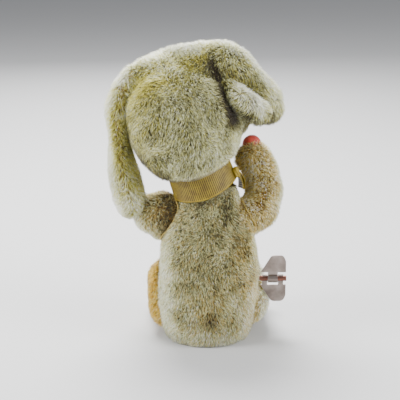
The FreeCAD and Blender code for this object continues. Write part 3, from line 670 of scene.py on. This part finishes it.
def head_colours(points, normals):
    across, height = on_back(points)
    # top: paler pile where the head faces up, a painted highlight of the top light.
    top = ramp(facing(normals, -0.25, 1, 0), 0.42, 0.92)
    band = stroke(points, [(-52, 143), (-36, 148), (-18, 154), (-3, 166)], 8) * (1 - 0.6 * top)
    # low: darker along the head's lower-left edge, painted shade with some darker pile.
    low = stroke(points, [(-50, 146), (-48.5, 127), (-43.5, 113), (-34, 101), (-21, 94.5)], 3.4)
    # crease: painted shade along the crease between head and right ear.
    crease = stroke(points, EAR_CREASE_SHADE, 3.6) * ramp(facing(normals, 0, 0, 1), -0.2, 0.3)
    cheek = ramp(across, -6, 8) * ramp(126 - height, 0, 8)
    # The dark spot near the top is painted shade where the right ear's root meets the head.
    tone = 2.35 + 2.7 * top - 3.6 * crease - 2.6 * low + 0.3 * band + 0.35 * cheek \
        + 0.35 * fleck(points) - 0.8 * spot(points, -1, 160, 5, 5)
    warmth = 0.12 + 0.75 * band + 0.2 * low + 0.3 * ramp(-across, 18, 36)
    return tone, warmth


def head_keep(points, normals):
    radius, height = in_neck(points)
    return (height > RIBBON_WIDTH / 2 + 0.3 + 1.5 * (radius > RIBBON_RADIUS)) | (radius > RIBBON_RADIUS + 6)


EAR_LEFT = [
    ((34, 4, 158), (7, 9, 7)), ((42, 3, 159.5), (6.6, 9, 7)), ((47.8, 1, 152), (6.2, 10, 7)),
    ((52.8, -1, 141), (5.2, 12, 7)), ((52.2, -3, 129), (3.9, 14, 7)), ((51.8, -3, 118), (4.2, 14.5, 7)),
    ((50.8, -3, 107), (5.6, 14.5, 7)), ((48.8, -3, 96), (7.2, 14, 7)), ((46.8, -3, 87.5), (7.6, 12.5, 6)),
    ((45.6, -3, 81.5), (6.6, 9.5, 4.6)),
]


def make_ear_left(material):
    return stuffed("ear_left_plush", chain(EAR_LEFT, steps=7), material, voxel=1.4, smoothing=6, seed=31)


def ear_left_colours(points, normals):
    across, height = on_back(points)
    # inner_shade: darker on the side facing the head, painted shade in the gap between ear and head.
    inner_shade = 0.5 * ramp(facing(normals, 1, 0, 0), 0.6, 0.95) * ramp(height, 96, 112)
    # outer: paler on the outer side and lower tip, a painted highlight of the side light.
    outer = ramp(-facing(normals, 1, -0.5, 0), 0.25, 0.9) \
        + 0.9 * ramp(86 - height, 0, 9) * ramp(-across, 44, 56)
    gold = stroke(points, [(-52, 147), (-53, 128), (-51, 108), (-44, 92)], 6)
    tone = 3.3 + 1.3 * outer - 2.2 * inner_shade + 0.4 * fleck(points) + 0.3 * ramp(96 - height, 0, 14)
    warmth = 0.35 + 0.55 * gold - 0.4 * ramp(outer, 0.3, 1)
    return tone, warmth


def make_ear_right(material):
    """The flopped ear: a broad flap that slants forward, its lower edge rolled back up."""
    flap = chain([(on_screen(9, 163.5, 48), 9.3), (on_screen(15.5, 160.0, 46), 9.6),
                  (on_screen(25, 150.5, 38), 9.4), (on_screen(33.6, 143.2, 29), 8.8),
                  (on_screen(36.6, 138.4, 22), 8.0)], steps=7)
    sheet = chain([(on_screen(12, 150, 46), 8), (on_screen(22, 143, 40), 8), (on_screen(32, 136, 28), 6)])
    roll = chain([(on_screen(14, 146.5, 52), 3.4), (on_screen(18.5, 141.8, 55), 4.9),
                  (on_screen(24, 137.2, 52.5), 5.5), (on_screen(30.2, 133.6, 45.5), 5.0)], steps=7)
    return stuffed("ear_right_plush", flap + sheet + roll, material, voxel=1.4, smoothing=4, seed=41)


def ear_right_colours(points, normals):
    across, height = on_back(points)
    # rim: paler where the ear faces up and outwards, a painted highlight of the top light.
    rim = ramp(facing(normals, 0.62, 0.78, -0.1), 0.35, 0.85)
    near = points @ SCREEN_NEAR
    # roll: a painted highlight along the rolled lower edge nearest the camera.
    roll = stroke(points, [(18.5, 144), (25, 139.4), (31, 134.6)], 3.2) * ramp(near, 47, 52)
    # valley_shade_and_gold: painted shade in the fold between flap and roll, with warmer pile there.
    valley_shade_and_gold = stroke(points, [(12, 158), (22, 152), (28, 145), (35, 136)], 3.2)
    # inner_shade: painted shade in the crease against the head; underside_shade: painted shade under the ear.
    inner_shade = stroke(points, [(4, 158), (6, 149), (9.5, 138), (14, 129)], 4.0)
    underside_shade = ramp(-facing(normals, 0, 1, 0), 0.35, 0.85)
    tone = 2.6 + 2.3 * rim + 2.3 * roll - 1.2 * valley_shade_and_gold * (1 - rim) - 3.0 * inner_shade - 2.0 * underside_shade * (1 - roll) \
        + 0.4 * fleck(points)
    return tone, 0.2 + 0.35 * valley_shade_and_gold


# ---------------------------------------------------------------- muzzle, nose, eyes, mouth

def make_muzzle(material):
    blobs = [blob(on_head(0, -41, -12), (10.8, 13.4, 9.8), HEAD_TURN),
             blob(on_head(4.4, -48, -13.5), (6.6, 7.0, 6.6), HEAD_TURN),
             blob(on_head(-4.4, -48, -13.5), (6.6, 7.0, 6.6), HEAD_TURN),
             blob(on_head(0, -38, -19.5), (6.6, 9.5, 4.4), HEAD_TURN)]
    return stuffed("muzzle_plush", blobs, material, voxel=1.2, smoothing=4, lumps=0.15, seed=81)


def muzzle_colours(points, normals):
    return 2.6 + 1.0 * ramp(-points[:, 1], 30, 48) + 0.2 * fleck(points), np.full(len(points), 0.1)


def muzzle_keep(points, normals):
    local = (points - np.array(HEAD.translation)) @ HEAD_TURN
    nose = np.linalg.norm((local - (0, -56.5, -7.5)) / (5.6, 5, 4.4), axis=1) < 1
    mouth = (np.abs(local[:, 0]) < 5) & (local[:, 1] < -46) & (np.abs(local[:, 2] + 20) < 1.6)
    return ~(nose | mouth | (local[:, 1] > -28))


def make_nose(material):
    """A moulded nose: flat on top, narrow below, with two nostrils."""
    points, faces = ball_points(26, 40)
    x, y, z = points.T
    x = x * (1 - 0.30 * np.clip(-z, 0, 1)) * (1 + 0.06 * z)
    z = np.where(z > 0, z * 0.88, z)
    for side in (1, -1):
        dent = bell(np.hypot(x - side * 0.42, z + 0.12), 0, 0.2) * (y < 0)
        y = y + 0.3 * dent
    local = np.stack([x * 5.0, y * 3.7, z * 3.8], axis=1) + (0, -57.2, -7.5)
    return mesh("nose_black", from_head(local), faces, [material])


EYE_RADIUS = 3.6


def make_eye(name, side, materials):
    """A glass eye: a black pupil, an amber iris and a dark rim, looking out and forward."""
    points, faces = ball_points(40, 48)
    look = unit(np.array((side * 0.42, -0.88, 0.16)))
    turn = np.array(Vector(look).to_track_quat("Z", "Y").to_matrix())
    middles = [np.mean([points[i] for i in face], axis=0) for face in faces]
    open_angle = np.degrees(np.arccos(np.clip([m[2] / np.linalg.norm(m) for m in middles], -1, 1)))
    slots = np.searchsorted((27, 56), open_angle)
    local = points @ turn.T * EYE_RADIUS + (side * 13, -33.2, 3.4)
    return mesh(name, from_head(local), faces, materials, slots)


def make_tongue(material):
    """A tab of red felt with a rounded end and a crease down its middle."""
    tilt = np.array(Matrix.Rotation(math.radians(-24), 3, "X"))
    wide, long, thick = 3.8, 7.6, 1.1
    rows, columns = 14, 12
    points = []
    for top in (1, -1):
        for row in range(rows + 1):
            share = row / rows
            half = wide * math.sqrt(max(1 - max(share - 0.55, 0) ** 2 / 0.45 ** 2, 0.02))
            for column in range(columns + 1):
                across = 2 * column / columns - 1
                crease = 0.35 * bell(across, 0, 0.18) * (top > 0)
                height = top * thick / 2 * (1 - 0.25 * abs(across) ** 6) - crease
                points.append((half * across, -long * share + 0.4, height - 0.6 * share * share))
    sheet = (rows + 1) * (columns + 1)
    faces = []
    for row in range(rows):
        for column in range(columns):
            a = row * (columns + 1) + column
            b = a + columns + 1
            faces.append((a, b, b + 1, a + 1))
            faces.append((sheet + a, sheet + a + 1, sheet + b + 1, sheet + b))
    rim = [row * (columns + 1) for row in range(rows + 1)]
    rim += [rows * (columns + 1) + column for column in range(1, columns + 1)]
    rim += [row * (columns + 1) + columns for row in range(rows - 1, -1, -1)]
    rim += [column for column in range(columns - 1, 0, -1)]
    faces += [(sheet + a, sheet + b, b, a) for a, b in zip(rim, rim[1:] + rim[:1])]
    local = np.array(points) @ tilt.T + (0, -50, -20.4)
    return mesh("tongue_felt", from_head(local), faces, [material])


def make_mouth(material):
    """Black thread: down from the nose, then out and up to each side of the muzzle."""
    skin = [(0, -60.2, -11.5), (0, -60.0, -14.5), (0, -58.6, -18.2)]
    made = [thread("mouth_thread_middle", [on_head(*place) for place in skin], 0.4, material)]
    for side in (1, -1):
        curve = [(side * 9.5 * math.sin(k * math.pi / 24), -58.6 + 7.2 * (k / 12) ** 1.6,
                  -18.2 - 0.9 * math.sin(k * math.pi / 12) + 2.0 * (k / 12) ** 2) for k in range(13)]
        name = "mouth_thread_left" if side > 0 else "mouth_thread_right"
        made.append(thread(name, [on_head(*place) for place in curve], 0.4, material))
    return made


# ---------------------------------------------------------------- ribbon

RIB_PITCH = 1.15
RIB_HEIGHT = 0.09


def band_strip(name, ring, half, materials, closed=True):
    """A grosgrain strip: ring(share) gives its middle, its way across and its way out, and ribs cross it."""
    steps = int(2 * math.pi * RIBBON_RADIUS / RIB_PITCH) * 4 if closed else 40
    columns = 18
    points = []
    for face in (1, -1):
        for step in range(steps + (not closed)):
            middle, across, out = ring(step / steps)
            rib = RIB_HEIGHT * math.cos(math.pi * step / 2)
            for column in range(columns + 1):
                place = 2 * column / columns - 1
                edge = abs(place) > 0.93
                lift = face * (RIBBON_THICK / 2 + (0.06 if edge else rib)) * (0.55 if abs(place) == 1 else 1)
                points.append(middle + across * half * place + out * lift)
    rows = steps + (not closed)
    count = rows * (columns + 1)
    faces = []
    slots = []
    for step in range(steps):
        after = (step + 1) % rows
        for column in range(columns):
            a = step * (columns + 1) + column
            b = after * (columns + 1) + column
            faces.append((a, a + 1, b + 1, b))
            faces.append((count + a, count + b, count + b + 1, count + a + 1))
            # Slot 1 darkens the rib valleys: painted shade between the ribs.
            slots += [int(step % 4 in (1, 2) and 0 < column < columns - 1)] * 2
        for column, flip in ((0, True), (columns, False)):
            a = step * (columns + 1) + column
            b = after * (columns + 1) + column
            side = (a, b, count + b, count + a)
            faces.append(side if flip else side[::-1])
            slots.append(0)
    if not closed:
        for step, flip in ((0, False), (steps, True)):
            for column in range(columns):
                a = step * (columns + 1) + column
                end = (a, count + a, count + a + 1, a + 1)
                faces.append(end[::-1] if flip else end)
                slots.append(0)
    return mesh(name, points, faces, materials, slots)


def make_ribbon(materials):
    """The neck band: a little wider at its lower edge, where it spreads over the shoulders."""
    axis = NECK_TURN[:, 2]

    def ring(share):
        angle = 2 * math.pi * share + KNOT_ANGLE
        out = NECK_TURN @ np.array((math.cos(angle), math.sin(angle), 0))
        flare = 0.05 + 0.03 * math.cos(angle - math.pi / 2)
        across = unit(axis - out * flare)
        wave = 0.12 * math.sin(3 * angle) + 0.08 * math.sin(7 * angle + 1)
        lift = 2.9 * abs(math.cos(angle)) ** 1.5 - 1.2
        return on_neck(angle, RIBBON_RADIUS + RIBBON_THICK / 2 + wave, lift), across, out
    return band_strip("neck_ribbon", ring, RIBBON_WIDTH / 2, materials)


def make_knot(material):
    """The knot: the band drawn together and wrapped once round."""
    points, faces = ball_points(30, 48)
    x, y, z = points.T
    folds = 0.09 * np.cos(7 * np.arctan2(y, x) + 2.0 * z)
    pinch = 0.72 + 0.28 * np.abs(z) ** 1.4
    local = np.stack([x * 2.5 * (pinch + folds), y * 2.9 * (pinch + folds), z * 3.4], axis=1)
    around = np.array(Matrix.Rotation(KNOT_ANGLE, 3, "Z"))
    local = (local + (RIBBON_RADIUS + 2.6, 0, -2.5)) @ around.T
    return mesh("ribbon_knot_wrap", from_neck(local), faces, [material])


def make_tail(index, turn, drop, materials):
    """One cut end of the ribbon: it leaves the knot, bends down and lies over the pile."""
    angle = KNOT_ANGLE + math.radians(turn)
    out = NECK_TURN @ np.array((math.cos(angle), math.sin(angle), 0))
    side = NECK_TURN @ np.array((-math.sin(angle), math.cos(angle), 0))

    def ring(share):
        height = -2.0 - drop * share
        bulge = 2.0 + 1.6 * math.sin(math.pi * share) * 0.8
        middle = on_neck(angle - 0.3 * (1 - share), RIBBON_RADIUS + bulge, height)
        return middle, side * (0.35 + 0.65 * ramp(share, 0, 0.7)), out
    return band_strip(f"ribbon_tail_{index}", ring, TAIL_WIDTH / 2, materials, closed=False)


# ---------------------------------------------------------------- limbs

def make_arm_left(material):
    stations = [((13, -1, 77), 9.5), ((24, -2, 75.5), 10.6), ((32.5, -5, 75), 10.2), ((33, -20, 73.5), 8.2),
                ((27.5, -35, 72), 7.6), ((26.5, -40.5, 71.5), 6.6)]
    elbow = [((27, -3, 69), 7.5), ((22, -2, 63), 5.5)]
    return stuffed("arm_left_plush", chain(stations) + chain(elbow), material, smoothing=7, seed=51)


def make_arm_right(material):
    stations = [((-13, 0, 76), 9.5), ((-23, -1, 74.5), 9.8), ((-32.0, -5, 78), 9.6), ((-35.0, -11, 88), 9.2),
                ((-32.5, -18, 99), 9.0), ((-29.2, -21, 106.0), 8.6)]
    paw = [((-25.5, -20, 106), 6.6), ((-28, -19, 109), 6.6)]
    return stuffed("arm_right_plush", chain(stations) + chain(paw), material, smoothing=7, seed=61)


def arm_left_colours(points, normals):
    across, height = on_back(points)
    # dark: painted shade along the seam where arm meets coat.
    dark = stroke(points, [(-24, 84), (-22, 74), (-24, 68)], 4.6)
    # rim: paler on the side facing left and down, a painted rim highlight.
    rim = ramp(-facing(normals, 1, 0.6, 0), 0.45, 0.95)
    tone = 2.5 - 2.2 * dark + 1.4 * rim + 0.4 * fleck(points)
    return tone, 0.45 - 0.2 * rim + 0.2 * dark


def arm_right_colours(points, normals):
    # outer: paler on the side facing right, a painted rim highlight; inner_shade: painted shade along the
    # edge next to head and body.
    outer = ramp(facing(normals, 1, 0, -0.2), 0.45, 0.95)
    inner_shade = stroke(points, [(19, 93), (21, 104), (22, 114)], 3)
    tone = 3.1 + 0.9 * outer - 0.5 * ramp(patch(points + 5), -0.2, 1.2) + 0.4 * fleck(points) - 0.6 * inner_shade
    return tone, 0.85 - 0.6 * outer


def arm_keep(points, normals):
    """No pile on the part of the sleeve that is inside the coat."""
    return np.hypot(points[:, 0], points[:, 1]) > coat_radius(points[:, 2]) - 0.6


def arm_trim(points, normals):
    return seam_trim(points)


def make_leg(side, material):
    if side > 0:
        thigh = [((22, -9, 37), 9.5), ((22.5, -7, 26), 11.5), ((22.5, -6, 16), 11.5), ((21, -14, 18), 12.5)]
    else:
        thigh = [((-21, -9, 26), 10.5), ((-23.6, -8, 19), 13.0)]
    stations = thigh + [((side * 24.5, -36, 12.4), 9.6), ((side * 27, -43.5, 10.6), 8.0)]
    foot = [((side * 27, -44, 10.6), 8.0), ((side * 28.1, -46.5, 17), 7.6), ((side * 28.5, -47.0, 23.5), 6.8)]
    name = "leg_left_plush" if side > 0 else "leg_right_plush"
    return stuffed(name, chain(stations) + chain(foot), material, voxel=1.6, smoothing=7, seed=71 + side)


def leg_left_colours(points, normals):
    sole = ramp(-points[:, 1], 47, 52)
    return 3.0 + 1.2 * sole + 0.3 * fleck(points), 0.95 - 0.8 * sole


def leg_right_colours(points, normals):
    across = points @ SCREEN_RIGHT
    outer = ramp(across, 29, 33)
    sole = ramp(-points[:, 1], 47, 52)
    return 3.2 + 1.1 * outer + sole + 0.2 * fleck(points), 0.95 - 0.75 * outer - 0.8 * sole


def leg_keep(points, normals):
    return (np.hypot(points[:, 0], points[:, 1]) > coat_radius(points[:, 2]) - 0.8) & (points[:, 2] > 0.5)


# ---------------------------------------------------------------- assembly

add_camera()
add_world()
add_light("top", (0.12, -0.34, 0.72), (0, 0, 0.11), 0.5, 17.0)
add_light("left_window", (0.75, 0.30, 0.46), (0, 0, 0.09), 0.5, 11.0)
add_light("right_window", (-0.62, 0.34, 0.40), (0, 0, 0.09), 0.5, 7.5)
add_light("front", (0.10, -0.8, 0.45), (0, 0, 0.09), 0.5, 4.0)

bpy.ops.mesh.primitive_plane_add(size=6)
floor = bpy.context.object
floor.name = "floor"
floor.data.materials.append(principled("floor_paper", (0.80, 0.80, 0.80), 0.9)[0])

slot_materials = make_slot_materials()
slot_of = {row["node"]: row["material_slot"] for row in frame["record"]["subparts"]}
for node, made in frame["nodes"].items():
    material = slot_materials["copper"] if node == "key_shaft" else slot_materials.get(slot_of.get(node))
    if material:
        for slot in made.material_slots:
            slot.material = material
for node in ("key_wing_upper", "key_wing_lower", "key_eyelet", "key_shaft"):
    soften = frame["nodes"][node].modifiers.new("edges", "BEVEL")
    soften.width = 0.25 * MM
    soften.segments = 3

back_skin = mottled("plush_back_skin", (0.40, 0.37, 0.25), (0.58, 0.55, 0.40), 120, 0.95, bump=0.6)
gold_skin = mottled("plush_gold_skin", (0.46, 0.35, 0.16), (0.66, 0.52, 0.26), 120, 0.95, bump=0.6)
muzzle_skin = mottled("plush_muzzle_skin", (0.50, 0.47, 0.38), (0.70, 0.66, 0.55), 120, 0.95, bump=0.6)
# The second grosgrain material is painted shade for the valleys between ribs.
grosgrain = [mottled("grosgrain_rib", (0.46, 0.37, 0.02), (0.60, 0.51, 0.05), 260, 0.5, bump=0.3,
                     bump_scale=1500),
             mottled("grosgrain_valley_shade", (0.20, 0.15, 0.01), (0.30, 0.24, 0.02), 260, 0.7)]
yellow_thread = mottled("yellow_thread", (0.62, 0.52, 0.24), (0.80, 0.70, 0.38), 400, 0.6)
black_thread = mottled("black_thread", (0.03, 0.03, 0.03), (0.10, 0.09, 0.08), 400, 0.6)
nose_black = mottled("nose_plastic", (0.015, 0.015, 0.015), (0.05, 0.045, 0.045), 90, 0.28, bump=0.15,
                     bump_scale=500, Coat_Weight=0.3)
red_felt = mottled("red_felt", (0.55, 0.10, 0.09), (0.78, 0.22, 0.18), 500, 0.95, bump=0.5, Sheen_Weight=0.5)
glass_black = mottled("eye_pupil", (0.008, 0.008, 0.01), (0.02, 0.018, 0.018), 60, 0.06, Coat_Weight=1.0)
glass_amber = mottled("eye_amber", (0.34, 0.15, 0.03), (0.66, 0.34, 0.08), 700, 0.08, Coat_Weight=1.0)
glass_rim = mottled("eye_rim", (0.03, 0.015, 0.008), (0.08, 0.04, 0.02), 80, 0.10, Coat_Weight=1.0)


def dress(skin, node, body, pile, blend=None):
    """Gives a skin and its pile their body, or with blend only bakes their placement in, and hides the node
    they replace.
    """
    for part in [skin, *pile]:
        if blend is None:
            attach(part, body)
        else:
            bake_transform(part)
    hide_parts(node)


def fit(made, node, body):
    """Gives a hard or sewn piece its body, and hides the node that it replaces."""
    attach(made, body)
    if node:
        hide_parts(node)


coat = make_coat(back_skin)
dress(coat, "jacket", "seat",
      grow("coat_pile", coat, coat_colours, keep=coat_keep, trim=coat_trim, seed=12))
head = make_head(back_skin)
dress(head, "head_plush", "head",
      grow("head_pile", head, head_colours, keep=head_keep, trim=near_ribbon, length=4.4, seed=22,
           scale="yellow"))
ear_left = make_ear_left(gold_skin)
dress(ear_left, "ear_left", "head",
      grow("ear_left_pile", ear_left, ear_left_colours, length=4.6, seed=32, scale="yellow"))
ear_right = make_ear_right(back_skin)
dress(ear_right, "ear_right", "head",
      grow("ear_right_pile", ear_right, ear_right_colours, length=4.4, seed=42, scale="yellow"))
muzzle = make_muzzle(muzzle_skin)
dress(muzzle, "muzzle", "head",
      grow("muzzle_pile", muzzle, muzzle_colours, keep=muzzle_keep, length=2.4,
           comb=tuple(HEAD_TURN @ (0, 1, -0.4)), seed=82))
fit(make_nose(nose_black), "nose", "head")
eye_glass = [glass_black, glass_amber, glass_rim]
fit(make_eye("eye_glass_left", 1, eye_glass), "eye_left", "head")
fit(make_eye("eye_glass_right", -1, eye_glass), "eye_right", "head")
fit(make_tongue(red_felt), "tongue", "head")
for part in make_mouth(black_thread):
    fit(part, None, "head")

ribbon = make_ribbon(grosgrain)
fit(ribbon, "ribbon", "head")
fit(make_knot(grosgrain[0]), "ribbon_knot", "head")
for index, (turn, drop) in enumerate(TAILS, start=1):
    tail = make_tail(index, turn, drop, grosgrain)
    fit(tail, "ribbon_tails", "head")

SLEEVES = {side: ((side * 0.016, 0, 0.078), (side * 0.026, 0, 0.078)) for side in (1, -1)}
for side, make, colours, node, places in (
        (1, make_arm_left, arm_left_colours, "arm_left", SEAM_LEFT),
        (-1, make_arm_right, arm_right_colours, "arm_right", SEAM_RIGHT)):
    skin = make(gold_skin)
    seam = make_seam("seam_" + node.split("_")[1], places, [coat, skin], yellow_thread)
    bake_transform(seam)
    dress(skin, node, "arms",
          grow(node + "_pile", skin, colours, length=4.2, keep=arm_keep, trim=arm_trim, seed=52 + side),
          blend=SLEEVES[side])

for side, colours, node in ((1, leg_left_colours, "leg_left"), (-1, leg_right_colours, "leg_right")):
    skin = make_leg(side, gold_skin)
    dress(skin, node, "seat",
          grow(node + "_pile", skin, colours, length=4.0, keep=leg_keep, seed=72 + side,
               scale="fiery" if side > 0 else "warm"))
